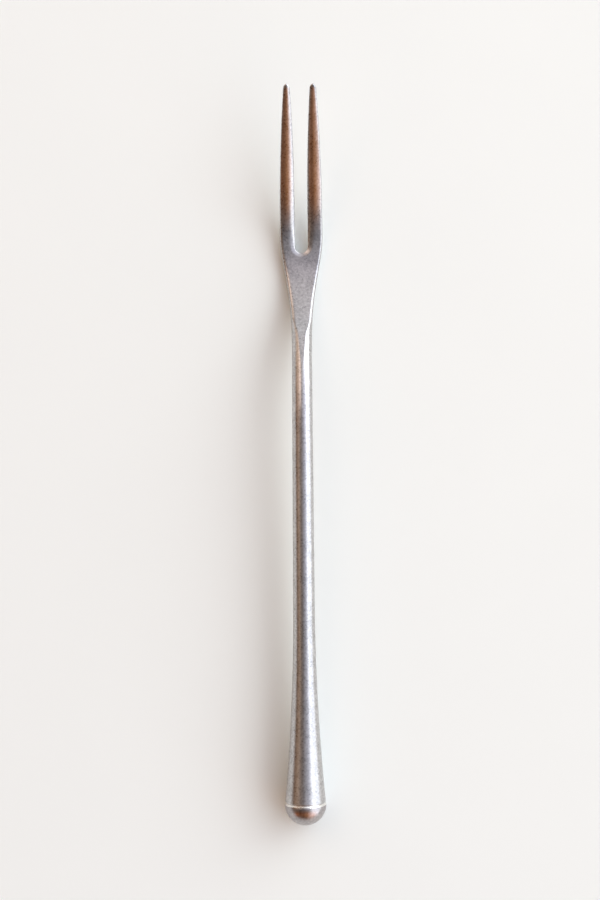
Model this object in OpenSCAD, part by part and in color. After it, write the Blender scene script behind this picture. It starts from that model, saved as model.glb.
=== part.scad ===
// Two-tine oyster fork with a hollow flared handle.
// A forged head with its bent neck and tang, a flared tube, the filler that beds the tang in it,
// a bright seam ring and a domed end cap.
// Each piece is drawn about the handle's axis: u runs along it from the cap's apex to the tips,
// x across the tines and z up, out of the head's hollow side. lay_down() then rests the whole fork
// on a table, on the back of its head and on its cap.

/* [Overall] */
// Length from the cap's apex to the tips, along the handle
overall_l = 152; // [140:1:165]

/* [Tines] */
// Depth of the slot, from the tips to its root
tine_l = 32.7; // [26:0.1:38]
// Width of the slot at its root
slot_w = 2.8; // [2:0.1:3.6]
// Distance between the middles of the two tips
tip_pitch = 5.4; // [4.4:0.1:6.4]
// Half the thickness of a tine just before its nose
tip_half_t = 0.5; // [0.35:0.05:0.8]
// Length of the rounded nose of a tine
nose_l = 0.9; // [0.5:0.1:3]
// How much narrower a tine is at the tip than at its root
tine_taper_share = 0.6; // [0.35:0.05:0.7]
// How far a tine's crowned faces fall towards its edges, as a share of their thickness
tine_crown_share = 0.45; // [0.2:0.05:0.6]
// Angle at which the tines rise from the line of the handle
tine_angle = 26.5; // [18:0.5:34]

/* [Palm and neck] */
// Greatest width across the head
head_w = 9.1; // [7.5:0.1:11]
// Length from the slot's root forward to the greatest width
shoulder_l = 3.2; // [2:0.1:8]
// Length of the palm, from the round neck to the slot's root
palm_l = 18.3; // [14:0.1:24]
// Half the thickness that the palm is forged to, before its front is flattened
palm_half_t = 1.25; // [0.9:0.05:1.6]
// Share of that half thickness left in front of the middle by the flat facet
facet_share = 0.66; // [0.5:0.02:0.9]
// Length of the round neck, from the handle's joint to the palm
neck_l = 21; // [14:0.5:30]
// Diameter of the neck where the palm begins
neck_d = 4.2; // [3.4:0.1:5]
// Length over which the neck turns down
dip_l = 23; // [16:0.5:30]
// Angle at which the neck falls from the line of the handle
neck_angle = 23; // [12:0.5:30]
// Length over which the head turns up again into the straight tines
bowl_l = 31; // [24:0.5:36]
// Width of the slot's rounded edge where it goes round the root
slot_root_round = 0.8; // [0.4:0.1:1.4]
// Width of the slot's rounded edge along a tine, as a share of the tine's width there
slot_edge_share = 0.5; // [0.2:0.05:0.5]
// How deep that rounding goes round the root, as a share of the thickness on its side of the middle
slot_root_depth_share = 0.25; // [0.1:0.05:0.5]
// How deep it goes along a tine
slot_depth_share = 0.5; // [0.3:0.05:0.8]

/* [Handle] */
// Diameter of the handle at its joint with the neck
shank_d = 4.3; // [3.6:0.1:5.2]
// Diameter that the slim taper alone would reach at the handle's end
foot_d = 4.76; // [4:0.02:6]
// Length of the flare at the end of the handle
flare_l = 40; // [25:1:60]
// Wall of the handle tube
shell_wall = 0.6; // [0.4:0.05:0.8]
// Diameter of the tang
tang_d = 2.2; // [1.6:0.1:2.4]
// Length of the tang inside the handle
tang_l = 30; // [15:1:40]

/* [Seam ring and cap] */
// Diameter of the domed cap
cap_d = 8.6; // [7:0.1:11]
// How far the cap's rim stands proud of the handle's end
rim_step = 0.07; // [0.03:0.01:0.2]
// Thickness of the bright ring between the handle and the cap
ring_t = 0.45; // [0.3:0.05:0.8]
// Depth of the fine groove above the ring
groove_depth = 0.28; // [0.1:0.02:0.3]
// How far the cap's spigot seat reaches into the handle
seat_l = 4; // [3:0.5:6]
// Gap on the radius between pieces that are bonded or pressed together
fit_gap = 0.05; // [0.02:0.01:0.08]
// Room left past the end of the spigot
spigot_room = 0.3; // [0.1:0.05:1]

/* [Hidden] */
$fn = 96;

// Places along the handle's axis
slot_u = overall_l - tine_l;
widen_u = slot_u - palm_l;
joint_u = widen_u - neck_l;
shoulder_u = slot_u + shoulder_l;
nose_u = overall_l - nose_l;
dip_u = joint_u + dip_l;

// Where the forging gets thinner and where it starts to spread, measured from the palm, and the
// run of its front facet, which starts as a tongue on the neck and reaches a share of its depth there
thin_lead_share = 0.19;
thin_share = 0.79;
spread_lead_share = 0.47;
tongue_lead_share = 0.355;
tongue_run_share = 0.52;
tongue_share = 0.3;
facet_run_share = 0.22;
thin_u = widen_u - palm_l * thin_lead_share;
spread_u = widen_u - palm_l * spread_lead_share;
tongue_u = widen_u - palm_l * tongue_lead_share;

// Radii and the widths of the tines at their roots
neck_r = neck_d / 2;
shank_r = shank_d / 2;
tang_r = tang_d / 2;
cap_r = cap_d / 2;
slot_r = slot_w / 2;
slot_ease_l = 4 * slot_r;
tine_half_w = (head_w - slot_w) / 4;
tine_mid_x = slot_r + tine_half_w;
taper_power = 2.5;
spread_power = 2;
nose_t_power = 0.4;

// The share of a tine over which its crown comes on, the least share of the thickness that is left
// at the slot's wall, and how much of the slot's edge round the root is a straight bevel
crown_run_share = 0.35;
wall_share = 0.04;
root_bevel_share = 0.7;

// The handle's end, the groove and the seat for the spigot
shell_u = cap_r + ring_t;
shell_end_r = cap_r - rim_step;
groove_r = cap_r - groove_depth;
flare_r = shell_end_r - foot_d / 2;
seat_u = shell_u + seat_l;
seat_r = tube_r(seat_u) - shell_wall;

// How finely the forging and the tube are drawn
neck_steps = 8;
palm_steps = 16;
root_steps = 6;
edge_steps = 4;
tine_steps = 20;
nose_steps = 4;
flat_steps = 3;
side_steps = 5;
flare_steps = 28;
widest_side_angle = 75;

function mix(a, b, t) = a + (b - a) * t;
function clamp(t) = min(max(t, 0), 1);
function smooth(t) = let (c = clamp(t)) c * c * (3 - 2 * c);
// The area under smooth() from 0 to t
function smooth_area(t) = let (c = clamp(t)) c * c * c * (1 - c / 2) + max(t - 1, 0);

// The tube's outer radius: a slim taper and a flare that grows as the square of the way into it
function tube_r(u) = mix(foot_d / 2, shank_r, (u - shell_u) / (joint_u - shell_u))
    + flare_r * pow(clamp((shell_u + flare_l - u) / flare_l), 2);

// The middle line of the forging: how steeply it runs at u, and how high it is there
function slope(u) = (tan(neck_angle) + tan(tine_angle)) * smooth((u - dip_u) / bowl_l)
    - tan(neck_angle) * smooth((u - joint_u) / dip_l);
function height(u) = (tan(neck_angle) + tan(tine_angle)) * bowl_l * smooth_area((u - dip_u) / bowl_l)
    - tan(neck_angle) * dip_l * smooth_area((u - joint_u) / dip_l);

// The forging's outline in plan
function round_r(u) = mix(shank_r, neck_r, clamp((u - joint_u) / neck_l));
function tine_way(u) = clamp((u - shoulder_u) / (overall_l - shoulder_u));
function tine_half(u) = tine_half_w * (1 - tine_taper_share * pow(tine_way(u), taper_power));
function tine_mid(u) = mix(tine_mid_x, tip_pitch / 2, tine_way(u));
function spread(u) = smooth(pow(clamp((u - spread_u) / (shoulder_u - spread_u)), spread_power));
function outer_x(u) = u < shoulder_u
    ? mix(round_r(u), head_w / 2, spread(u))
    : tine_mid(u) + tine_half(u);
function inner_x(u) = u <= slot_u ? 0
    : u < slot_u + slot_r ? sqrt(pow(slot_r, 2) - pow(slot_u + slot_r - u, 2))
    : tine_mid(u) - tine_half(u);

// The forging's thickness behind its middle line, how far the facet has come on in front of it, from
// 0 on the round neck to 1 on the palm, and the thickness that the facet leaves there
function back_t(u) = mix(mix(round_r(u), palm_half_t, smooth((u - thin_u) / (palm_l * thin_share))),
    tip_half_t, clamp((u - slot_u) / tine_l));
function facet_way(u) = tongue_share * clamp((u - tongue_u) / (palm_l * tongue_run_share))
    + (1 - tongue_share) * smooth((u - widen_u) / (palm_l * facet_run_share));
function front_t(u) = back_t(u) * mix(1, facet_share, facet_way(u));

// The slot's rounded edges: their width and depth, the way from a point to the slot, and the fall
// there from 0 to 1, which round the root is mostly a straight bevel
function past_root(u) = smooth((u - slot_u) / slot_ease_l);
function slot_edge_w(u) = mix(slot_root_round, 2 * tine_half(u) * slot_edge_share, past_root(u));
function slot_edge_deep(u) = mix(slot_root_depth_share, slot_depth_share, past_root(u));
function slot_gap(u, x) = let (past = slot_u + slot_r - u)
    past > 0 ? norm([x, past]) - slot_r : x - inner_x(u);
function edge_fall(u, d) = let (into = 1 - clamp(d / slot_edge_w(u)))
    mix(1 - sqrt(1 - pow(into, 2)), into, root_bevel_share * (1 - past_root(u)));
// The fall of a tine's crowned faces, and the share of the thickness that both leave
function crown_fall(u, x) = smooth((u - slot_u) / (tine_l * crown_run_share))
    * pow(clamp(abs(x - tine_mid(u)) / tine_half(u)), 2);
function face_share(u, x) = max(wall_share, 1 - tine_crown_share * crown_fall(u, x)
    - slot_edge_deep(u) * edge_fall(u, slot_gap(u, x)));
// The half round side, whose radius is the thickness behind the middle line
function side_rise(r, d) = d >= r ? r : sqrt(pow(r, 2) - pow(r - max(d, 0), 2));

// The width over which columns crowd along the slot's edge
edge_band_root = sqrt(pow(slot_r + slot_root_round, 2) - pow(slot_r, 2));
function edge_band(u, x_side) = u <= slot_u ? min(edge_band_root, x_side / 2)
    : u < slot_u + slot_r
        ? sqrt(pow(slot_r + slot_edge_w(u), 2) - pow(slot_u + slot_r - u, 2)) - inner_x(u)
    : slot_edge_w(u);

// The places across one half of a section, from the slot or the middle out to its side
function columns(u, r, w, side_angle) = let (
    x0 = inner_x(u),
    x_side = w - r * (1 - cos(side_angle)),
    band = edge_band(u, x_side))
    concat([for (k = [0:edge_steps - 1]) x0 + band * (1 - cos(90 * k / edge_steps))],
        [for (k = [0:flat_steps]) mix(x0 + band, x_side, k / flat_steps)],
        [for (k = [side_steps - 1:-1:0]) w - r * (1 - cos(side_angle * k / side_steps))]);

// One face of half a section, as [x, height over the middle line]: t is its thickness there
function half_face(u, t) = let (
    r = back_t(u),
    w = outer_x(u),
    side_angle = min(asin(clamp(t / r)), widest_side_angle))
    [for (x = columns(u, r, w, side_angle)) [x, min(side_rise(r, w - x), t * face_share(u, x))]];

face_last = edge_steps + flat_steps + side_steps;
ring_last = 2 * face_last;

// Half a section from its front inner edge, round its side, to its back inner edge
function half_section(u) = let (front = half_face(u, front_t(u)), back = half_face(u, back_t(u)))
    concat(front, [for (k = [face_last - 1:-1:0]) [back[k][0], -back[k][1]]]);
// On the nose a section shrinks about the tine's middle, in its thickness later than in its width
function nosed(u, a) = let (mid = tine_mid(u), t = pow(cos(a), nose_t_power))
    [for (p = half_section(u)) [mix(mid, p[0], cos(a)), p[1] * t]];
function in_space(u, x, n) = let (a = atan(slope(u))) [x, u - n * sin(a), height(u) + n * cos(a)];

// The stations along the forging, closer where the slot's root and its rounded edge are
edge_u = slot_u - slot_root_round;
stations = concat(
    [for (k = [0:neck_steps - 1]) mix(joint_u, widen_u, k / neck_steps)],
    [for (k = [0:palm_steps - 1]) mix(widen_u, edge_u, k / palm_steps)],
    [for (k = [0:edge_steps - 1]) mix(edge_u, slot_u, sin(90 * k / edge_steps))],
    [for (k = [0:root_steps - 1]) slot_u + slot_r * (1 - cos(90 * k / root_steps))],
    [for (k = [0:tine_steps]) mix(slot_u + slot_r, nose_u, k / tine_steps)]);
nose_angles = [for (k = [1:nose_steps - 1]) 90 * k / nose_steps];
root_i = neck_steps + palm_steps + edge_steps;
half_rings = concat(
    [for (u = stations) [for (p = half_section(u)) in_space(u, p[0], p[1])]],
    [for (a = nose_angles) let (u = nose_u + nose_l * sin(a))
        [for (p = nosed(u, a)) in_space(u, p[0], p[1])]]);
last_i = len(half_rings) - 1;
tip = in_space(overall_l, tine_mid(overall_l), 0);
half_points = concat([for (ring = half_rings) each ring], [tip]);
half_count = len(half_points);

// A point's number in the whole forging: side 0 is +x and side 1 is -x, and the two share the
// middle of the palm up to the slot's root
function number(side, i, j) = i * (ring_last + 1) + j
    + (side == 1 && !(i <= root_i && (j == 0 || j == ring_last)) ? half_count : 0);
function tip_number(side) = half_count - 1 + side * half_count;
function facing(side, face) = side == 0 ? face : [face[0], face[2], face[1]];
// Past the root each tine's ring closes across the slot's wall, and before it the ring stays open
function next_j(j) = j == ring_last ? 0 : j + 1;
function steps_round(i) = i < root_i ? ring_last - 1 : ring_last;
skin = [for (side = [0, 1], i = [0:last_i - 1], j = [0:steps_round(i)]) let (
        a = number(side, i, j), b = number(side, i + 1, j),
        c = number(side, i + 1, next_j(j)), d = number(side, i, next_j(j)))
    each [facing(side, [a, b, c]), facing(side, [a, c, d])]];
noses = [for (side = [0, 1], j = [0:ring_last])
    facing(side, [number(side, last_i, j), tip_number(side), number(side, last_i, next_j(j))])];
joint_face = concat([for (j = [0:ring_last]) number(0, 0, j)],
    [for (j = [ring_last - 1:-1:1]) number(1, 0, j)]);
forging_points = concat(half_points, [for (p = half_points) [-p[0], p[1], p[2]]]);

// The tilt at which the back of the head and the cap both touch the table
function lowest(tilt) = min([for (p = half_points) p[1] * sin(tilt) + p[2] * cos(tilt)]);
function table_gap(tilt) = lowest(tilt) + cap_r * (1 - sin(tilt));
function level(low, high, left) = let (mid = (low + high) / 2)
    left == 0 ? mid : table_gap(mid) < 0 ? level(mid, high, left - 1) : level(low, mid, left - 1);
steepest = 30;
halvings = 40;
tilt = level(-steepest, steepest, halvings);
reach = max([for (p = half_points) p[1] * cos(tilt) - p[2] * sin(tilt)]);
heel = -cap_r * (1 - cos(tilt));

// Lays a piece down: its length along +Y, its middle over the origin and its lowest points at z = 0
module lay_down() {
    translate([0, -(reach + heel) / 2, cap_r * (1 - sin(tilt))]) rotate([tilt, 0, 0]) children();
}

// Turns a piece that was drawn round Z so that Z becomes the handle's axis
module along_handle() {
    lay_down() rotate([-90, 0, 0]) children();
}

// Tines, palm, bent neck and tang, forged in one
module fork_head() {
    color("DarkGray") {
        lay_down() polyhedron(points = forging_points, faces = concat(skin, noses, [joint_face]));
        along_handle() translate([0, 0, joint_u - tang_l]) cylinder(r = tang_r, h = tang_l + tang_r);
    }
}

// The bore follows the tube's outside at one wall's thickness, down to the seat for the spigot
function bore_r(u) = tube_r(u) - shell_wall;
tube_stations = [for (k = [0:flare_steps]) mix(seat_u, shell_u + flare_l, k / flare_steps)];

// Flared tube, with a straight seat for the cap's spigot and a chamfer above the seam ring
module handle_shell() {
    chamfer_u = shell_u + shell_end_r - groove_r;
    flare = [for (k = [1:flare_steps]) mix(chamfer_u, shell_u + flare_l, k / flare_steps)];
    outside = concat([[groove_r, shell_u], [tube_r(chamfer_u), chamfer_u]],
        [for (u = flare) [tube_r(u), u]], [[shank_r, joint_u]]);
    inside = concat([[bore_r(joint_u), joint_u]],
        [for (k = [flare_steps:-1:0]) [bore_r(tube_stations[k]), tube_stations[k]]],
        [[seat_r, shell_u]]);
    color("Silver") along_handle() rotate_extrude() polygon(concat(outside, inside));
}

// Fills the tube from the spigot's seat to the joint, with a pocket for the tang
module handle_filler() {
    top_u = joint_u - fit_gap;
    pocket_u = joint_u - tang_l - fit_gap;
    outside = [for (u = tube_stations) [bore_r(u) - fit_gap, u]];
    color("Tan") along_handle() rotate_extrude() polygon(concat(
        [[0, seat_u]], outside,
        [[bore_r(top_u) - fit_gap, top_u], [tang_r + fit_gap, top_u],
         [tang_r + fit_gap, pocket_u], [0, pocket_u]]));
}

// Bright ring, whose upper edge is cut back at 45 degrees as one side of the fine groove
module seam_ring() {
    color("Gainsboro") along_handle() rotate_extrude() polygon([
        [seat_r, cap_r], [cap_r, cap_r], [cap_r, shell_u - groove_depth],
        [groove_r, shell_u], [seat_r, shell_u]]);
}

// Dome with a spigot that plugs the ring and the tube
module end_cap() {
    spigot_r = seat_r - fit_gap;
    spigot_start = cap_r - ring_t;
    spigot_end = seat_u - spigot_room;
    lead = shell_wall / 2;
    color("Gray") along_handle() {
        difference() {
            translate([0, 0, cap_r]) sphere(cap_r);
            translate([-cap_d, -cap_d, cap_r]) cube([2 * cap_d, 2 * cap_d, cap_d]);
        }
        translate([0, 0, spigot_start]) cylinder(r = spigot_r, h = spigot_end - lead - spigot_start);
        translate([0, 0, spigot_end - lead]) cylinder(r1 = spigot_r, r2 = spigot_r - lead, h = lead);
    }
}

fork_head();
handle_shell();
handle_filler();
seam_ring();
end_cap();
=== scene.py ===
"""Two-tine oyster fork with a hollow flared handle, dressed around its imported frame.

The fork lies on a pale table, on the back of its head and on its cap, with its hollow side up.
Shapes are worked out about the handle's axis, in millimetres: u runs along it from the cap's apex
to the tips, x across the tines and n up, out of the hollow side. lay_down() takes them to the
frame.
"""

import math

import bpy
import numpy as np
from mathutils import Matrix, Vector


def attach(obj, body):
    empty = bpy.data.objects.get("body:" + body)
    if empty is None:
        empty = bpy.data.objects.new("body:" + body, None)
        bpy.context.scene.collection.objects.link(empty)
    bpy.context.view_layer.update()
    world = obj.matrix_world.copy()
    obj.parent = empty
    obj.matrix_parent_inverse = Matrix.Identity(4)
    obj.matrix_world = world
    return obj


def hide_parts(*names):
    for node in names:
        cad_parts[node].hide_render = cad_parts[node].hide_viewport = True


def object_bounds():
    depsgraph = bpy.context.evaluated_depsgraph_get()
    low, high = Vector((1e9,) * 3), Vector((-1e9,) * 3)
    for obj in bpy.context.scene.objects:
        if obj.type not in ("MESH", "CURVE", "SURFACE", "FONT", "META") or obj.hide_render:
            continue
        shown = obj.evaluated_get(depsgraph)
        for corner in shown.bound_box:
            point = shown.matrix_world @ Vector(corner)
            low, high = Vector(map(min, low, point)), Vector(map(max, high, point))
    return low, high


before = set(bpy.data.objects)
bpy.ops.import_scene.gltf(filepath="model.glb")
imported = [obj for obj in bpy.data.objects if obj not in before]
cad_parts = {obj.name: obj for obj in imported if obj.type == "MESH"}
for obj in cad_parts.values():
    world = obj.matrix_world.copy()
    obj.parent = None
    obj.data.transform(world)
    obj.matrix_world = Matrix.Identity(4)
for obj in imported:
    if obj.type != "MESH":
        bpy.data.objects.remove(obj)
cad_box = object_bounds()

# A millimetre, in metres
MM = 0.001

# The fork's sizes in millimetres, its angles in degrees and its plain shares and powers, all as in
# the part's own source
OVERALL_L = 152.0
TINE_L = 32.7
SLOT_W = 2.8
TIP_PITCH = 5.4
TIP_HALF_T = 0.5
NOSE_L = 0.9
TINE_TAPER_SHARE = 0.6
TAPER_POWER = 2.5
NOSE_T_POWER = 0.4
TINE_CROWN_SHARE = 0.45
CROWN_RUN_SHARE = 0.35
TINE_ANGLE = 26.5
HEAD_W = 9.1
SHOULDER_L = 3.2
SPREAD_LEAD_SHARE = 0.47
SPREAD_POWER = 2.0
PALM_L = 18.3
PALM_HALF_T = 1.25
FACET_SHARE = 0.66
NECK_L = 21.0
NECK_D = 4.2
DIP_L = 23.0
NECK_ANGLE = 23.0
BOWL_L = 31.0
SLOT_ROOT_ROUND = 0.8
SLOT_ROOT_DEPTH_SHARE = 0.25
SLOT_EDGE_SHARE = 0.5
SLOT_DEPTH_SHARE = 0.5
WALL_SHARE = 0.04
ROOT_BEVEL_SHARE = 0.7
THIN_LEAD_SHARE = 0.19
THIN_SHARE = 0.79
TONGUE_LEAD_SHARE = 0.355
TONGUE_RUN_SHARE = 0.52
TONGUE_SHARE = 0.3
FACET_RUN_SHARE = 0.22
SHANK_D = 4.3
FOOT_D = 4.76
FLARE_L = 40.0
SHELL_WALL = 0.6
TANG_D = 2.2
TANG_L = 30.0
CAP_D = 8.6
RIM_STEP = 0.07
RING_T = 0.45
GROOVE_DEPTH = 0.28
SEAT_L = 4.0
FIT_GAP = 0.05
SPIGOT_ROOM = 0.3

# Places along the axis, radii and other sizes that follow from them
SLOT_U = OVERALL_L - TINE_L
WIDEN_U = SLOT_U - PALM_L
JOINT_U = WIDEN_U - NECK_L
SHOULDER_U = SLOT_U + SHOULDER_L
NOSE_U = OVERALL_L - NOSE_L
DIP_U = JOINT_U + DIP_L
THIN_U = WIDEN_U - PALM_L * THIN_LEAD_SHARE
SPREAD_U = WIDEN_U - PALM_L * SPREAD_LEAD_SHARE
TONGUE_U = WIDEN_U - PALM_L * TONGUE_LEAD_SHARE
NECK_R = NECK_D / 2
SHANK_R = SHANK_D / 2
TANG_R = TANG_D / 2
TANG_LEAD = TANG_R / 3
SPIGOT_LEAD = SHELL_WALL / 2
CAP_R = CAP_D / 2
SLOT_R = SLOT_W / 2
SLOT_EASE_L = 4 * SLOT_R
TINE_HALF_W = (HEAD_W - SLOT_W) / 4
TINE_MID_X = SLOT_R + TINE_HALF_W
SHELL_U = CAP_R + RING_T
SHELL_END_R = CAP_R - RIM_STEP
GROOVE_R = CAP_R - GROOVE_DEPTH
FLARE_R = SHELL_END_R - FOOT_D / 2
SEAT_U = SHELL_U + SEAT_L

# In millimetres, how softly tumbling has eased the facet's edges, of which the left one is hand
# finished and softer, how far the edges at the joints are broken, and how far the head's drawn skin
# stays inside the solid's
SOFT_EDGE = 0.26
SOFT_LEFT_EDGE = 0.45
HAIRLINE = 0.025
INSIDE = 0.02

# The photograph's camera: in millimetres its lens, its frame, its distance from the handle's axis
# and how far past the fork's middle it aims, then its turns in degrees, and how far the axis is off
# the picture's middle
LENS = 60.0
FRAME_SIDE = 36.0
CAMERA_DISTANCE = 310.2
AIM_PAST_MIDDLE = 1.5
CAMERA_YAW = 0.5
CAMERA_ROLL = 0.47
PICTURE_H_PX = 900
AXIS_OFFSET_PX = 2.7

# How finely the head is drawn: steps along it, and across each half of a section
NECK_STEPS = 44
PALM_STEPS = 96
EDGE_STEPS = 14
ROOT_STEPS = 24
TINE_STEPS = 110
NOSE_STEPS = 12
BAND_STEPS = 12
FLAT_STEPS = 14
SIDE_STEPS = 14

# How finely the turned pieces are drawn: steps round them, along the tube and along the dome, and
# how close points of the tube have to be to become one, in millimetres
TURN_STEPS = 160
TUBE_STEPS = 170
DOME_STEPS = 60
WELD = 0.001

# Angles in degrees: how far round a section's side its points go, where the dome stops short of its
# rim, and the turn at which an edge is shaded sharp
WIDEST_SIDE_ANGLE = 80.0
RIM_ANGLE = 1.0
SHARP_ANGLE = 24.0

# The search for the tilt at which the fork lies: the steepest one in degrees, how often the range
# is halved, and how many places along the back are tried
STEEPEST_TILT = 30.0
TILT_HALVINGS = 50
BACK_PLACES = 2000

# Half the side of the table top, in metres
TABLE_HALF = 2.0


def mix(a, b, t):
    """The value a share t of the way from a to b."""
    return a + (b - a) * t


def smooth(t):
    """An eased step from 0 to 1."""
    c = np.clip(t, 0, 1)
    return c * c * (3 - 2 * c)


def smooth_area(t):
    """The area under smooth() from 0 to t."""
    c = np.clip(t, 0, 1)
    return c**3 * (1 - c / 2) + np.maximum(t - 1, 0)


def tube_r(u):
    """The tube's outer radius: a slim taper, and a flare that grows as the square of the way in."""
    taper = mix(FOOT_D / 2, SHANK_R, (u - SHELL_U) / (JOINT_U - SHELL_U))
    return taper + FLARE_R * np.clip((SHELL_U + FLARE_L - u) / FLARE_L, 0, 1) ** 2


# The bore's radius where the cap is seated, how steeply the neck falls, and how far the middle line
# turns up from there to the tines
SEAT_R = float(tube_r(SEAT_U)) - SHELL_WALL
NECK_FALL = math.tan(math.radians(NECK_ANGLE))
TURN = NECK_FALL + math.tan(math.radians(TINE_ANGLE))


def slope(u):
    """How steeply the forging's middle line runs at u."""
    return TURN * smooth((u - DIP_U) / BOWL_L) - NECK_FALL * smooth((u - JOINT_U) / DIP_L)


def height(u):
    """How high the forging's middle line is at u."""
    up = TURN * BOWL_L * smooth_area((u - DIP_U) / BOWL_L)
    return up - NECK_FALL * DIP_L * smooth_area((u - JOINT_U) / DIP_L)


def in_space(u, x, n):
    """The point a height n over the middle line at u, and x to the side."""
    a = np.arctan(slope(u))
    return np.stack([x + 0 * u, u - n * np.sin(a), height(u) + n * np.cos(a)], axis=-1)


def round_r(u):
    """The radius of the round neck."""
    return mix(SHANK_R, NECK_R, np.clip((u - JOINT_U) / NECK_L, 0, 1))


def tine_way(u):
    """The share of the way from the head's widest place to the tips."""
    return np.clip((u - SHOULDER_U) / (OVERALL_L - SHOULDER_U), 0, 1)


def tine_half(u):
    """Half the width of a tine."""
    return TINE_HALF_W * (1 - TINE_TAPER_SHARE * tine_way(u) ** TAPER_POWER)


def tine_mid(u):
    """How far a tine's middle is from the fork's."""
    return mix(TINE_MID_X, TIP_PITCH / 2, tine_way(u))


def outer_x(u):
    """Half the head's outline in plan."""
    if u < SHOULDER_U:
        way = np.clip((u - SPREAD_U) / (SHOULDER_U - SPREAD_U), 0, 1)
        return mix(round_r(u), HEAD_W / 2, smooth(way**SPREAD_POWER)) - INSIDE
    return tine_mid(u) + tine_half(u) - INSIDE


def inner_x(u):
    """Half the slot, which is 0 before its root."""
    if u <= SLOT_U:
        return 0.0
    if u < SLOT_U + SLOT_R:
        return math.sqrt(SLOT_R**2 - (SLOT_U + SLOT_R - u) ** 2)
    return tine_mid(u) - tine_half(u)


def back_t(u):
    """The forging's thickness behind its middle line."""
    palm = mix(round_r(u), PALM_HALF_T, smooth((u - THIN_U) / (PALM_L * THIN_SHARE)))
    return mix(palm, TIP_HALF_T, np.clip((u - SLOT_U) / TINE_L, 0, 1))


def facet_way(u):
    """How far the flat facet has come on, from 0 on the round neck to 1 on the palm."""
    tongue = np.clip((u - TONGUE_U) / (PALM_L * TONGUE_RUN_SHARE), 0, 1)
    return mix(smooth((u - WIDEN_U) / (PALM_L * FACET_RUN_SHARE)), tongue, TONGUE_SHARE)


def front_t(u):
    """The forging's thickness in front of its middle line."""
    return back_t(u) * mix(1, FACET_SHARE, facet_way(u))


def past_root(u):
    """How far the slot's edges have changed from those round its root to those along a tine."""
    return float(smooth((u - SLOT_U) / SLOT_EASE_L))


def slot_edge_w(u):
    """The width of the slot's rounded edges."""
    return float(mix(SLOT_ROOT_ROUND, 2 * tine_half(u) * SLOT_EDGE_SHARE, past_root(u)))


def slot_edge_deep(u):
    """How deep the slot's rounded edges go, as a share of the thickness."""
    return mix(SLOT_ROOT_DEPTH_SHARE, SLOT_DEPTH_SHARE, past_root(u))


def slot_gap(u, x):
    """How far a place x on the section at u is from the slot."""
    past = SLOT_U + SLOT_R - u
    if past > 0:
        return np.hypot(x, past) - SLOT_R
    return x - inner_x(u)


def round_fall(into):
    """How far a rounded edge has fallen, from 0 to 1, at a share of the way into it."""
    return 1 - np.sqrt(1 - into**2)


def edge_fall(u, d):
    """How far the slot's edge has fallen a distance d from the slot: mostly a bevel at its root."""
    into = 1 - np.clip(d / slot_edge_w(u), 0, 1)
    return mix(round_fall(into), into, ROOT_BEVEL_SHARE * (1 - past_root(u)))


def crown_fall(u, x):
    """How far a tine's crowned face has fallen at x, from 0 at its middle to 1 at its edges."""
    come_on = smooth((u - SLOT_U) / (TINE_L * CROWN_RUN_SHARE))
    return come_on * np.clip(np.abs(x - tine_mid(u)) / tine_half(u), 0, 1) ** 2


def face_share(u, x):
    """The share of a face's thickness that its crown and the slot's rounded edge leave."""
    edge = slot_edge_deep(u) * edge_fall(u, slot_gap(u, x))
    return np.maximum(WALL_SHARE, 1 - TINE_CROWN_SHARE * crown_fall(u, x) - edge)


def soft_min(a, b, softness):
    """The lower of a and b, with the corner between them eased over softness."""
    if softness <= 0:
        return np.minimum(a, b)
    ease = np.maximum(softness - np.abs(a - b), 0) / softness
    return np.minimum(a, b) - ease * ease * softness / 4


def edge_band(u, x_side):
    """The width over which the section's points crowd along the slot's edge."""
    if u <= SLOT_U:
        return min(math.sqrt((SLOT_R + SLOT_ROOT_ROUND) ** 2 - SLOT_R**2), x_side / 2)
    if u < SLOT_U + SLOT_R:
        past = SLOT_U + SLOT_R - u
        return math.sqrt((SLOT_R + slot_edge_w(u)) ** 2 - past**2) - inner_x(u)
    return slot_edge_w(u)


def half_face(u, t, softness):
    """One face of half a section, t thick: its x and heights, from the slot or the middle out."""
    r = back_t(u)
    w = outer_x(u)
    side = min(math.degrees(math.asin(min(t / r, 1))), WIDEST_SIDE_ANGLE)
    x_side = w - r * (1 - math.cos(math.radians(side)))
    x0 = inner_x(u)
    band = edge_band(u, x_side)
    steps = np.arange(BAND_STEPS) / BAND_STEPS
    columns = x0 + band * (1 - np.cos(np.pi / 2 * steps))
    ease_out = 1 - (1 - np.arange(FLAT_STEPS) / FLAT_STEPS) ** 2
    columns = np.append(columns, mix(x0 + band, x_side, ease_out))
    angles = np.radians(side) * (1 - np.arange(SIDE_STEPS + 1) / SIDE_STEPS)
    columns = np.append(columns, w - r * (1 - np.cos(angles)))
    side_rise = r * (1 - round_fall(1 - np.clip((w - columns) / r, 0, 1)))
    rise = soft_min(side_rise, t * face_share(u, columns), softness)
    rise[-1] = 0
    return columns, rise


def half_section(u, soft_edge):
    """Half a section, from its front inner edge round its side to its back inner edge. The facet's
    edge is eased over soft_edge along the palm, and over SOFT_EDGE along the tines."""
    softness = mix(soft_edge, SOFT_EDGE, past_root(u)) * float(facet_way(u))
    x_front, n_front = half_face(u, front_t(u), softness)
    x_back, n_back = half_face(u, back_t(u), 0)
    x = np.append(x_front, x_back[-2::-1])
    n = np.append(n_front, -n_back[-2::-1])
    return x, n


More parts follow.
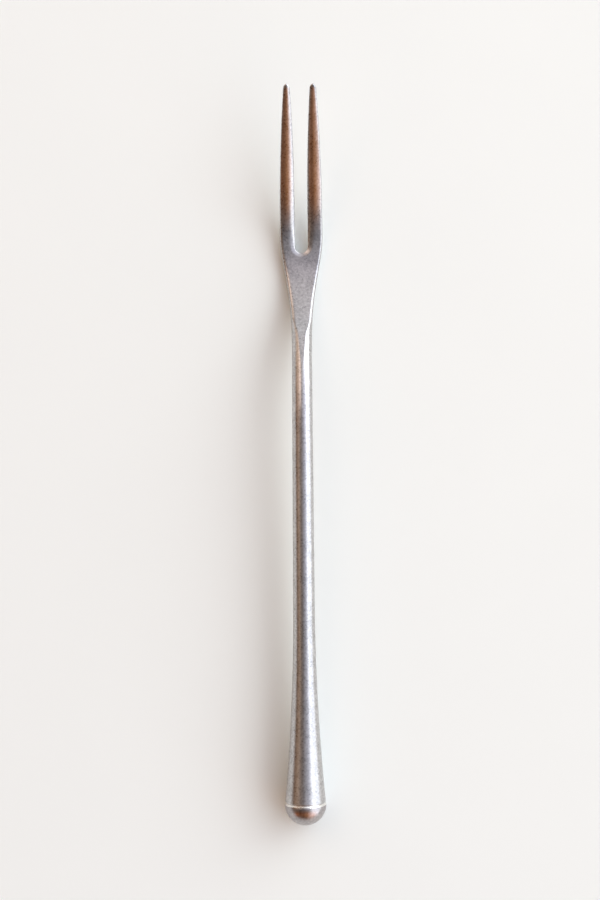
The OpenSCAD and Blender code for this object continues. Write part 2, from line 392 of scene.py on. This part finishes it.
def head_stations():
    """The places along the head where a section is drawn, closer at the slot's root."""
    edge_u = SLOT_U - SLOT_ROOT_ROUND
    parts = [
        mix(JOINT_U + HAIRLINE, WIDEN_U, np.arange(NECK_STEPS) / NECK_STEPS),
        mix(WIDEN_U, edge_u, np.arange(PALM_STEPS) / PALM_STEPS),
        mix(edge_u, SLOT_U, np.sin(np.pi / 2 * np.arange(EDGE_STEPS) / EDGE_STEPS)),
        SLOT_U + SLOT_R * (1 - np.cos(np.pi / 2 * np.arange(ROOT_STEPS) / ROOT_STEPS)),
        mix(SLOT_U + SLOT_R, NOSE_U, np.arange(TINE_STEPS + 1) / TINE_STEPS),
    ]
    return np.concatenate(parts)


def table_pose():
    """The tilt and lift at which the back of the head and the cap both touch the table."""
    u = np.linspace(JOINT_U, OVERALL_L, BACK_PLACES)
    back = in_space(u, 0 * u, -back_t(u))
    low, high = -STEEPEST_TILT, STEEPEST_TILT
    for _ in range(TILT_HALVINGS):
        tilt = (low + high) / 2
        s, c = math.sin(math.radians(tilt)), math.cos(math.radians(tilt))
        gap = (back[:, 1] * s + back[:, 2] * c).min() + CAP_R * (1 - s)
        low, high = (tilt, high) if gap < 0 else (low, tilt)
    return math.radians(tilt), CAP_R * (1 - s)


# The way from the handle's axis to the frame
TILT, LIFT = table_pose()
HEEL_Y = -CAP_R * (1 - math.cos(TILT))
SHIFT_Y = float(cad_box[0][1]) / MM - HEEL_Y
TO_FRAME = (
    Matrix.Scale(MM, 4)
    @ Matrix.Translation((0, SHIFT_Y, LIFT))
    @ Matrix.Rotation(TILT, 4, "X")
)


def lay_down(points):
    """Points about the handle's axis, in millimetres, as points of the frame, in metres."""
    m = np.array(TO_FRAME)
    return np.asarray(points) @ m[:3, :3].T + m[:3, 3]


def add_piece(name, verts, faces, material, slot, *nodes):
    """Makes a mesh object that stands for the CAD nodes, shaded smooth except at sharp edges."""
    mesh = bpy.data.meshes.new(name)
    mesh.from_pydata([tuple(v) for v in verts], [], faces)
    obj = bpy.data.objects.new(name, mesh)
    bpy.context.scene.collection.objects.link(obj)
    finish_piece(obj, material, slot, *nodes)


def finish_piece(obj, material, slot, *nodes):
    """Shades a piece, gives it its material and sets it in the frame."""
    mesh = obj.data
    mesh.validate()
    mesh.shade_smooth()
    mesh.set_sharp_from_angle(angle=math.radians(SHARP_ANGLE))
    mesh.materials.clear()
    mesh.materials.append(material)
    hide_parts(*nodes)
    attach(obj, "root")


def strip_faces(ring_a, ring_b, closed):
    """Quads between two rings of point numbers."""
    count = len(ring_a)
    last = count if closed else count - 1
    return [
        (ring_a[j], ring_b[j], ring_b[(j + 1) % count], ring_a[(j + 1) % count])
        for j in range(last)
    ]


def head_rings(soft_edge):
    """Half the forging's sections, from the end of its tang to the nose of a tine."""
    x_joint, n_joint = half_section(JOINT_U, soft_edge)
    tang = [
        (JOINT_U - TANG_L, (TANG_R - TANG_LEAD) / SHANK_R),
        (JOINT_U - TANG_L + TANG_LEAD, TANG_R / SHANK_R),
        (JOINT_U, TANG_R / SHANK_R),
        (JOINT_U, (SHANK_R - HAIRLINE) / SHANK_R),
    ]
    rings = [in_space(np.full_like(x_joint, u), x_joint * k, n_joint * k) for u, k in tang]
    for u in head_stations():
        x, n = half_section(u, soft_edge)
        rings.append(in_space(np.full_like(x, u), x, n))
    for k in range(1, NOSE_STEPS):
        a = math.pi / 2 * k / NOSE_STEPS
        u = NOSE_U + (NOSE_L - INSIDE) * math.sin(a)
        x, n = half_section(u, soft_edge)
        x = mix(tine_mid(u), x, math.cos(a))
        rings.append(in_space(np.full_like(x, u), x, n * math.cos(a) ** NOSE_T_POWER))
    return rings


def make_head(material):
    """The forging: tang, round neck, flat-faced palm and two tines, as one closed skin."""
    right = head_rings(SOFT_EDGE)
    left = head_rings(SOFT_LEFT_EDGE)
    root_i = len(right) - ROOT_STEPS - TINE_STEPS - NOSE_STEPS
    count = len(right[0])
    tip = in_space(np.array([OVERALL_L - INSIDE]), np.array([tine_mid(OVERALL_L)]), np.array([0.0]))
    half = np.concatenate(right + [tip])
    mirrored = np.concatenate(left + [tip]) * np.array([-1, 1, 1])

    def ring_numbers(side, i):
        """The numbers of a section's points. The halves share the middle ones up to the slot."""
        start = side * len(half) + i * count
        numbers = list(range(start, start + count))
        if side and i <= root_i:
            numbers[0], numbers[-1] = i * count, i * count + count - 1
        return numbers

    faces = []
    for side in (0, 1):
        skin = []
        for i in range(len(right) - 1):
            skin += strip_faces(ring_numbers(side, i), ring_numbers(side, i + 1), i >= root_i)
        last = ring_numbers(side, len(right) - 1)
        tip_number = side * len(half) + len(half) - 1
        skin += [(last[j], tip_number, last[(j + 1) % count]) for j in range(count)]
        faces += [face[::-1] for face in skin] if side == 0 else skin
    tang_end = ring_numbers(0, 0) + ring_numbers(1, 0)[-2:0:-1]
    faces.append(tuple(tang_end[::-1]))
    verts = lay_down(np.concatenate([half, mirrored]))

    # Only the points that a face uses are kept
    used = sorted({n for face in faces for n in face})
    renumber = {n: k for k, n in enumerate(used)}
    faces = [tuple(renumber[n] for n in face) for face in faces]
    add_piece("head", verts[used], faces, material, "forged_steel", "fork_head")


def lathe(name, profile, material, slot, node):
    """Turns a closed outline of (radius, u) round the handle's axis. Points on the axis are poles.
    The outline runs with the solid on its left, seen with u up and the radius to the right."""
    verts = []
    rings = []
    for r, u in profile:
        start = len(verts)
        if r == 0:
            verts.append((0, u, 0))
            rings.append([start] * TURN_STEPS)
        else:
            turns = [2 * math.pi * k / TURN_STEPS for k in range(TURN_STEPS)]
            verts += [(r * math.sin(a), u, r * math.cos(a)) for a in turns]
            rings.append(list(range(start, start + TURN_STEPS)))
    faces = []
    closed = profile[0][0] > 0
    next_rings = rings[1:] + rings[:1] if closed else rings[1:]
    for ring_a, ring_b in zip(rings, next_rings):
        for face in strip_faces(ring_a, ring_b, True):
            corners = tuple(dict.fromkeys(face))
            if len(corners) > 2:
                faces.append(corners[::-1])
    add_piece(name, lay_down(verts), faces, material, slot, node)


def arc(middle_r, middle_u, radius, start, end, steps):
    """Points (radius, u) of an arc, with angles in degrees from the direction of growing radius."""
    return [
        (
            middle_r + radius * math.cos(math.radians(mix(start, end, k / steps))),
            middle_u + radius * math.sin(math.radians(mix(start, end, k / steps))),
        )
        for k in range(steps + 1)
    ]


def make_cap(material):
    """The dome, its finely broken rim and the spigot that plugs the tube."""
    spigot_r = SEAT_R - FIT_GAP
    spigot_end = SEAT_U - SPIGOT_ROOM
    dome = arc(0, CAP_R, CAP_R, -90, -RIM_ANGLE, DOME_STEPS)[1:]
    profile = [(0, 0)] + dome + [
        (CAP_R - HAIRLINE, CAP_R),
        (spigot_r, CAP_R),
        (spigot_r, spigot_end - SPIGOT_LEAD),
        (spigot_r - SPIGOT_LEAD, spigot_end),
        (0, spigot_end),
    ]
    lathe("cap", profile, material, "cap_steel", "end_cap")


def make_ring(material):
    """The bright ring, whose upper edge is cut back as one side of the fine groove."""
    land_u = SHELL_U - GROOVE_DEPTH
    profile = [
        (SEAT_R, CAP_R),
        (CAP_R - HAIRLINE, CAP_R),
        (CAP_R, CAP_R + HAIRLINE),
        (CAP_R, land_u - HAIRLINE),
        (CAP_R - HAIRLINE, land_u + HAIRLINE / 2),
        (GROOVE_R, SHELL_U),
        (SEAT_R, SHELL_U),
    ]
    lathe("ring", profile, material, "bright_ring", "seam_ring")


class Field:
    """A value in a node tree that sums and products can be written with."""

    def __init__(self, tree, socket):
        self.tree = tree
        self.socket = socket

    def of(self, operation, *values):
        """A Math node of this value and others."""
        node = self.tree.nodes.new("ShaderNodeMath")
        node.operation = operation
        for slot, value in zip(node.inputs, (self, *values)):
            if isinstance(value, Field):
                self.tree.links.new(value.socket, slot)
            else:
                slot.default_value = value
        return Field(self.tree, node.outputs[0])

    def __add__(self, other):
        return self.of("ADD", other)

    def __sub__(self, other):
        return self.of("SUBTRACT", other)

    def __mul__(self, other):
        return self.of("MULTIPLY", other)

    def __truediv__(self, other):
        return self.of("DIVIDE", other)

    def lower(self, other):
        """The lower of this value and another."""
        return self.of("MINIMUM", other)

    def at_least(self, other):
        """This value, or another where that is higher."""
        return self.of("MAXIMUM", other)


# The sizes that the tube's tree takes, in millimetres
TUBE_INPUTS = {
    "Start": SHELL_U,
    "Length": JOINT_U - SHELL_U,
    "Foot Radius": FOOT_D / 2,
    "Shank Radius": SHANK_R,
    "Flare": FLARE_R,
    "Flare Length": FLARE_L,
    "Wall": SHELL_WALL,
    "Seat Radius": SEAT_R,
    "Groove Radius": GROOVE_R,
    "Hairline": HAIRLINE,
}


def tube_tree(material):
    """A tree that bends a grid into the flared tube: along its outside, then back by its bore."""
    tree = bpy.data.node_groups.new("flared tube", "GeometryNodeTree")
    tree.interface.new_socket("Geometry", in_out="OUTPUT", socket_type="NodeSocketGeometry")
    for name in TUBE_INPUTS:
        tree.interface.new_socket(name, in_out="INPUT", socket_type="NodeSocketFloat")
    nodes, links = tree.nodes, tree.links
    inputs = nodes.new("NodeGroupInput")
    size = {name: Field(tree, inputs.outputs[name]) for name in TUBE_INPUTS}

    grid = nodes.new("GeometryNodeMeshGrid")
    grid.inputs["Size X"].default_value = 1
    grid.inputs["Size Y"].default_value = 1
    grid.inputs["Vertices X"].default_value = TURN_STEPS + 1
    grid.inputs["Vertices Y"].default_value = 2 * TUBE_STEPS + 1
    place = nodes.new("GeometryNodeInputPosition")
    split = nodes.new("ShaderNodeSeparateXYZ")
    links.new(place.outputs[0], split.inputs[0])
    turn = (Field(tree, split.outputs["X"]) + 0.5) * (2 * math.pi)
    way = (Field(tree, split.outputs["Y"]) + 0.5) * 2

    # t runs 0 to 1 to 0 along the tube. out is 1 on the outside, 0 in the bore, and 1 again in the
    # last row, which closes the tube
    near_row = 0.25 / TUBE_STEPS
    out = way.of("LESS_THAN", 1.0 - near_row) + way.of("GREATER_THAN", 2.0 - near_row)
    t = ((way * math.pi).of("COSINE") * -1 + 1) / 2
    u = size["Start"] + size["Length"] * t
    taper = size["Foot Radius"] + (size["Shank Radius"] - size["Foot Radius"]) * t
    into = ((size["Start"] + size["Flare Length"] - u) / size["Flare Length"]).at_least(0)
    skin = taper + size["Flare"] * into * into

    # The outside ends in a chamfer of 45 degrees at the groove, and in a hairline one at the joint
    chamfer = size["Groove Radius"] + u - size["Start"]
    broken = size["Shank Radius"] - size["Hairline"] + (size["Length"] * (t * -1 + 1))
    outside = skin.lower(chamfer).lower(broken)
    bore = (skin - size["Wall"]).lower(size["Seat Radius"])
    radius = bore + (outside - bore) * out

    join = nodes.new("ShaderNodeCombineXYZ")
    for axis, value in zip("XYZ", (radius * turn.of("SINE"), u, radius * turn.of("COSINE"))):
        links.new(value.socket, join.inputs[axis])
    bend = nodes.new("GeometryNodeSetPosition")
    links.new(grid.outputs["Mesh"], bend.inputs["Geometry"])
    links.new(join.outputs[0], bend.inputs["Position"])
    weld = nodes.new("GeometryNodeMergeByDistance")
    weld.inputs["Distance"].default_value = WELD
    links.new(bend.outputs[0], weld.inputs["Geometry"])
    real = nodes.new("GeometryNodeRealizeInstances")
    links.new(weld.outputs[0], real.inputs["Geometry"])
    paint = nodes.new("GeometryNodeSetMaterial")
    paint.inputs["Material"].default_value = material
    links.new(real.outputs[0], paint.inputs["Geometry"])
    output = nodes.new("NodeGroupOutput")
    links.new(paint.outputs[0], output.inputs["Geometry"])
    return tree


def make_tube(material):
    """The flared handle, made by its tree and then turned into a plain mesh in the frame."""
    holder = bpy.data.objects.new("tube maker", bpy.data.meshes.new("tube maker"))
    bpy.context.scene.collection.objects.link(holder)
    modifier = holder.modifiers.new("tube", "NODES")
    tree = tube_tree(material)
    modifier.node_group = tree
    for item in tree.interface.items_tree:
        if item.in_out == "INPUT":
            modifier[item.identifier] = TUBE_INPUTS[item.name]
    seen = holder.evaluated_get(bpy.context.evaluated_depsgraph_get())
    mesh = bpy.data.meshes.new_from_object(seen)
    bpy.data.objects.remove(holder)
    mesh.name = "tube"
    mesh.transform(TO_FRAME)
    tube = bpy.data.objects.new("tube", mesh)
    bpy.context.scene.collection.objects.link(tube)
    finish_piece(tube, material, "tube_steel", "handle_shell")


class Shader:
    """A material's node tree, with the few nodes that the finishes are made of."""

    def __init__(self, name):
        self.material = bpy.data.materials.new(name)
        self.material.use_nodes = True
        self.tree = self.material.node_tree
        self.tree.nodes.clear()
        self.surface = self.tree.nodes.new("ShaderNodeBsdfPrincipled")
        output = self.tree.nodes.new("ShaderNodeOutputMaterial")
        self.link(self.surface.outputs[0], output.inputs[0])
        self.place = self.tree.nodes.new("ShaderNodeTexCoord").outputs["Object"]

    def link(self, source, target):
        """Joins two sockets, or sets a plain value."""
        if isinstance(source, Field):
            source = source.socket
        if isinstance(source, bpy.types.NodeSocket):
            self.tree.links.new(source, target)
        else:
            target.default_value = source

    def mapped(self, turn=(0, 0, 0), stretch=(1, 1, 1)):
        """Object coordinates in millimetres, turned by degrees and squeezed along their axes."""
        node = self.tree.nodes.new("ShaderNodeMapping")
        self.link(self.place, node.inputs["Vector"])
        node.inputs["Rotation"].default_value = [math.radians(a) for a in turn]
        node.inputs["Scale"].default_value = [s / MM for s in stretch]
        return node.outputs[0]

    def noise(self, size, detail=2.0, rough=0.5, vector=None):
        """Soft noise whose features are about size millimetres across."""
        node = self.tree.nodes.new("ShaderNodeTexNoise")
        self.link(vector or self.mapped(), node.inputs["Vector"])
        node.inputs["Scale"].default_value = 1 / size
        node.inputs["Detail"].default_value = detail
        node.inputs["Roughness"].default_value = rough
        return Field(self.tree, node.outputs["Fac"])

    def band(self, value, low, high, start=0.0, end=1.0):
        """Takes the range low to high of a value to start to end, and clamps it."""
        node = self.tree.nodes.new("ShaderNodeMapRange")
        self.link(value, node.inputs["Value"])
        names = ("From Min", "From Max", "To Min", "To Max")
        for name, number in zip(names, (low, high, start, end)):
            node.inputs[name].default_value = number
        return Field(self.tree, node.outputs["Result"])

    def pits(self, spacing, radius, share):
        """Sparse round pits: 1 in the middle of a pit and 0 outside it."""
        node = self.tree.nodes.new("ShaderNodeTexVoronoi")
        self.link(self.mapped(), node.inputs["Vector"])
        node.inputs["Scale"].default_value = 1 / spacing
        near = self.band(node.outputs["Distance"], radius / spacing, 0.0)
        split = self.tree.nodes.new("ShaderNodeSeparateColor")
        self.link(node.outputs["Color"], split.inputs[0])
        return near * Field(self.tree, split.outputs[0]).of("GREATER_THAN", 1 - share)

    def blend(self, factor, first, second):
        """A colour between two."""
        node = self.tree.nodes.new("ShaderNodeMix")
        node.data_type = "RGBA"
        self.link(factor, node.inputs["Factor"])
        for name, colour in (("A", first), ("B", second)):
            socket = [s for s in node.inputs if s.name == name and s.type == "RGBA"][0]
            if isinstance(colour, tuple):
                colour = (*colour, 1.0)
            self.link(colour, socket)
        return [s for s in node.outputs if s.type == "RGBA"][0]

    def bump(self, field, depth):
        """Lets a field raise the surface by up to depth millimetres."""
        node = self.tree.nodes.new("ShaderNodeBump")
        node.inputs["Distance"].default_value = depth * MM
        self.link(field, node.inputs["Height"])
        self.link(node.outputs[0], self.surface.inputs["Normal"])


def scaled(tone, times):
    """A colour made darker or lighter, up to white."""
    return tuple(min(c * times, 1.0) for c in tone)


# The tumbled mottle: its shares of grain and of clouds, and the range of it that takes the steel
# from its darkest to its lightest, both as times its tone
GRAIN_SHARE = 0.68
CLOUD_SHARE = 0.32
MOTTLE_RANGE = (0.36, 0.64)
DARKEST = 0.82
LIGHTEST = 1.22

# The two runs of stray scratches: how their noise is turned in degrees, and squeezed along its axes
SCRATCH_RUNS = (
    ((0, 0, 24), (7.0, 0.35, 7.0)),
    ((8, 0, -38), (8.0, 0.4, 8.0)),
)

# The tone of scratches, and the painted shade in the nicks' pits, both as times the steel's, and
# how strongly they show
SCRATCH_TONE = 1.45
SCRATCH_SHOW = 0.35
NICK_SHADE_TONE = 0.6
NICK_SHADE_SHOW = 0.2

# How far the roughness swings either way
ROUGHNESS_SWING = 0.02


def tumbled_steel(name, tone, roughness, grain_depth):
    """Satin steel from the tumbler: a fine grain, faint clouds, stray scratches and a few nicks,
    whose pits are painted darker as shade.
    """
    steel = Shader(name)
    grain = steel.noise(size=0.44, detail=1.5, rough=0.55)
    clouds = steel.noise(size=2.4, detail=2.5)
    scratches = None
    for turn, stretch in SCRATCH_RUNS:
        lines = steel.noise(size=1.0, detail=1.0, vector=steel.mapped(turn, stretch))
        lines = steel.band(lines, 0.7, 0.78)
        scratches = lines if scratches is None else scratches.at_least(lines)
    nicks = steel.pits(spacing=2.2, radius=0.14, share=0.12)
    mottle = grain * GRAIN_SHARE + clouds * CLOUD_SHARE
    light = steel.band(mottle, *MOTTLE_RANGE)
    colour = steel.blend(light, scaled(tone, DARKEST), scaled(tone, LIGHTEST))
    colour = steel.blend(scratches * SCRATCH_SHOW, colour, scaled(tone, SCRATCH_TONE))
    # The nicks' pits are painted darker: painted shade in them
    colour = steel.blend(nicks * NICK_SHADE_SHOW, colour, scaled(tone, NICK_SHADE_TONE))
    steel.link(colour, steel.surface.inputs["Base Color"])
    steel.surface.inputs["Metallic"].default_value = 1.0
    smoothest = roughness - ROUGHNESS_SWING
    roughest = roughness + ROUGHNESS_SWING
    rough = steel.band(mottle + scratches * 0.12, 0.35, 0.65, smoothest, roughest)
    steel.link(rough, steel.surface.inputs["Roughness"])
    steel.bump(grain + clouds * 0.6 - scratches * 0.2 - nicks * 1.8, grain_depth)
    return steel.material


def bright_steel(name, tone):
    """A turned, bright finish with a trace of tool marks."""
    bright = Shader(name)
    marks = bright.noise(size=0.2)
    colour = bright.blend(marks, scaled(tone, 0.94), tone)
    bright.link(colour, bright.surface.inputs["Base Color"])
    bright.surface.inputs["Metallic"].default_value = 1.0
    rough = bright.band(marks, 0.3, 0.7, start=0.22, end=0.3)
    bright.link(rough, bright.surface.inputs["Roughness"])
    bright.bump(marks, depth=0.002)
    return bright.material


def cast_resin(name, tone):
    """The matt filler inside the handle, finely grained."""
    resin = Shader(name)
    grain = resin.noise(size=0.5, detail=3.0)
    colour = resin.blend(grain, scaled(tone, 0.85), tone)
    resin.link(colour, resin.surface.inputs["Base Color"])
    resin.surface.inputs["Roughness"].default_value = 0.8
    resin.bump(grain, depth=0.02)
    return resin.material


def table_finish(name, tone):
    """The plain pale table, a shade uneven."""
    table = Shader(name)
    grain = table.noise(size=30.0)
    colour = table.blend(grain, scaled(tone, 0.98), tone)
    table.link(colour, table.surface.inputs["Base Color"])
    table.surface.inputs["Roughness"].default_value = 0.9
    table.surface.inputs["Specular IOR Level"].default_value = 0.1
    return table.material


def make_table():
    """A wide plain table top under the fork."""
    mesh = bpy.data.meshes.new("table")
    signs = ((-1, -1), (1, -1), (1, 1), (-1, 1))
    corners = [(x * TABLE_HALF, y * TABLE_HALF, 0) for x, y in signs]
    mesh.from_pydata(corners, [], [(0, 1, 2, 3)])
    table = bpy.data.objects.new("table", mesh)
    bpy.context.scene.collection.objects.link(table)
    mesh.materials.append(table_finish("pale table", (0.91, 0.96, 0.915)))


# The lamps: four soft boxes on the right and a warm card on the left. Each has its name, its turns
# right and up in degrees, its distance, width and length in metres, its radiance and its colour
LAMPS = (
    ("window box", 54, 22, 2.4, 1.39, 5.3, 1.5, (0.91, 0.96, 1.0)),
    ("side box", 84, 10, 2.4, 1.12, 5.3, 1.3, (0.84, 0.92, 1.0)),
    ("upper box", 42, 58, 0.9, 0.8, 0.7, 1.7, (0.92, 0.97, 1.0)),
    ("foot box", 40, -58, 0.9, 0.7, 0.45, 1.2, (0.9, 0.9, 1.0)),
    ("warm card", -24, 33, 0.9, 0.3, 0.66, 1.5, (1.0, 0.79, 0.68)),
)


def soft_box(name, right, up, distance, width, length, radiance, colour):
    """A rectangular lamp that looks at the fork. right turns it from straight overhead towards +X,
    and up turns it from there towards +Y."""
    lamp = bpy.data.lights.new(name, "AREA")
    lamp.shape = "RECTANGLE"
    lamp.size = width
    lamp.size_y = length
    lamp.energy = radiance * math.pi * width * length
    lamp.color = colour
    obj = bpy.data.objects.new(name, lamp)
    bpy.context.scene.collection.objects.link(obj)
    turn = Matrix.Rotation(-math.radians(up), 4, "X") @ Matrix.Rotation(math.radians(right), 4, "Y")
    obj.matrix_world = turn @ Matrix.Translation((0, 0, distance))


# The room's colour, by how far a direction points up the picture, from -1 to 1
ROOM_UP = (
    (-1.0, (0.2, 0.12, 0.08)),
    (-0.88, (0.4, 0.18, 0.08)),
    (-0.76, (0.62, 0.21, 0.03)),
    (-0.66, (0.6, 0.2, 0.02)),
    (-0.6, (0.33, 0.16, 0.08)),
    (-0.5, (0.16, 0.16, 0.175)),
    (-0.38, (0.18, 0.18, 0.2)),
    (-0.24, (0.31, 0.3, 0.32)),
    (-0.1, (0.44, 0.43, 0.45)),
    (0.05, (0.55, 0.51, 0.56)),
    (0.2, (0.61, 0.57, 0.62)),
    (0.4, (0.77, 0.73, 0.76)),
    (0.6, (0.85, 0.81, 0.83)),
    (0.8, (0.84, 0.8, 0.81)),
    (0.9, (0.94, 0.92, 0.93)),
    (1.0, (0.98, 0.96, 0.96)),
)
# What that colour is multiplied by, by how far a direction points to the right
ROOM_RIGHT = (
    (-1.0, (0.33, 0.13, 0.03)),
    (-0.93, (0.36, 0.15, 0.03)),
    (-0.82, (1.1, 0.78, 0.52)),
    (-0.62, (1.2, 0.92, 0.68)),
    (-0.5, (0.43, 0.36, 0.29)),
    (-0.14, (0.43, 0.39, 0.36)),
    (-0.04, (0.97, 0.98, 1.0)),
    (0.12, (1.0, 1.04, 1.1)),
    (0.4, (1.6, 1.72, 1.92)),
)
# The pale wall behind the table, and the heights of a direction over which it gives way to the room
WALL = (0.79, 0.77, 0.76)
WALL_FADE = (0.1, 0.18)


def make_room():
    """The room over the pale wall: lighter up the picture, brown at its foot and on the left."""
    world = bpy.data.worlds.new("room")
    world.use_nodes = True
    tree = world.node_tree
    toward = tree.nodes.new("ShaderNodeTexCoord").outputs["Generated"]
    split = tree.nodes.new("ShaderNodeSeparateXYZ")
    tree.links.new(toward, split.inputs[0])
    shades = []
    for axis, stops in (("Y", ROOM_UP), ("X", ROOM_RIGHT)):
        share = (Field(tree, split.outputs[axis]) + 1) / 2
        ramp = tree.nodes.new("ShaderNodeValToRGB")
        tree.links.new(share.socket, ramp.inputs[0])
        while len(ramp.color_ramp.elements) < len(stops):
            ramp.color_ramp.elements.new(0.5)
        for element, (place, colour) in zip(ramp.color_ramp.elements, stops):
            element.position = (place + 1) / 2
            element.color = (*colour, 1.0)
        shades.append(ramp.outputs["Color"])
    product = tree.nodes.new("ShaderNodeVectorMath")
    product.operation = "MULTIPLY"
    for shade, slot in zip(shades, product.inputs):
        tree.links.new(shade, slot)
    rise = tree.nodes.new("ShaderNodeMapRange")
    rise.interpolation_type = "SMOOTHSTEP"
    tree.links.new(split.outputs["Z"], rise.inputs["Value"])
    for end, place in zip(("From Min", "From Max"), WALL_FADE):
        rise.inputs[end].default_value = place
    fade = tree.nodes.new("ShaderNodeMixRGB")
    fade.inputs["Color1"].default_value = (*WALL, 1.0)
    tree.links.new(rise.outputs[0], fade.inputs["Fac"])
    tree.links.new(product.outputs[0], fade.inputs["Color2"])
    tree.links.new(fade.outputs[0], tree.nodes["Background"].inputs["Color"])
    bpy.context.scene.world = world


def make_camera():
    """The photograph's camera, square to the handle's axis, a little to its right."""
    lens = bpy.data.cameras.new("camera")
    lens.lens = LENS
    lens.sensor_width = FRAME_SIDE
    lens.sensor_fit = "AUTO"
    lens.clip_start = 10 * MM
    camera = bpy.data.objects.new("camera", lens)
    bpy.context.scene.collection.objects.link(camera)
    yaw = Matrix.Rotation(math.radians(CAMERA_YAW), 4, "Y")
    roll = Matrix.Rotation(-math.radians(CAMERA_ROLL), 4, "Z")
    aside = AXIS_OFFSET_PX / PICTURE_H_PX * FRAME_SIDE / LENS * CAMERA_DISTANCE
    stand = Matrix.Translation((-aside, 0, CAMERA_DISTANCE))
    aim = Matrix.Translation((0, OVERALL_L / 2 + AIM_PAST_MIDDLE, 0))
    pose = TO_FRAME @ aim @ yaw @ roll @ stand
    camera.matrix_world = Matrix.LocRotScale(pose.translation, pose.to_quaternion(), None)
    bpy.context.scene.camera = camera


bpy.context.scene.view_settings.view_transform = "Standard"
make_camera()
for lamp in LAMPS:
    soft_box(*lamp)
make_room()
make_table()

head_steel = tumbled_steel("forged steel", (0.51, 0.5, 0.495), roughness=0.29, grain_depth=0.003)
tube_steel = tumbled_steel("tube steel", (0.515, 0.505, 0.5), roughness=0.29, grain_depth=0.004)
# The cap's steel is darker than the rest: partly its own softly darker finish, and partly painted
# shade that stands for the dark reflections on its dome
cap_steel = tumbled_steel("cap steel", (0.42, 0.395, 0.395), roughness=0.3, grain_depth=0.006)
make_head(head_steel)
make_tube(tube_steel)
make_cap(cap_steel)
make_ring(bright_steel("bright ring", (0.86, 0.84, 0.8)))

# The filler is inside the tube, so it keeps the frame's own mesh
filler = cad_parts["handle_filler"]
filler.data.materials.clear()
filler.data.materials.append(cast_resin("bedding resin", (0.68, 0.6, 0.44)))
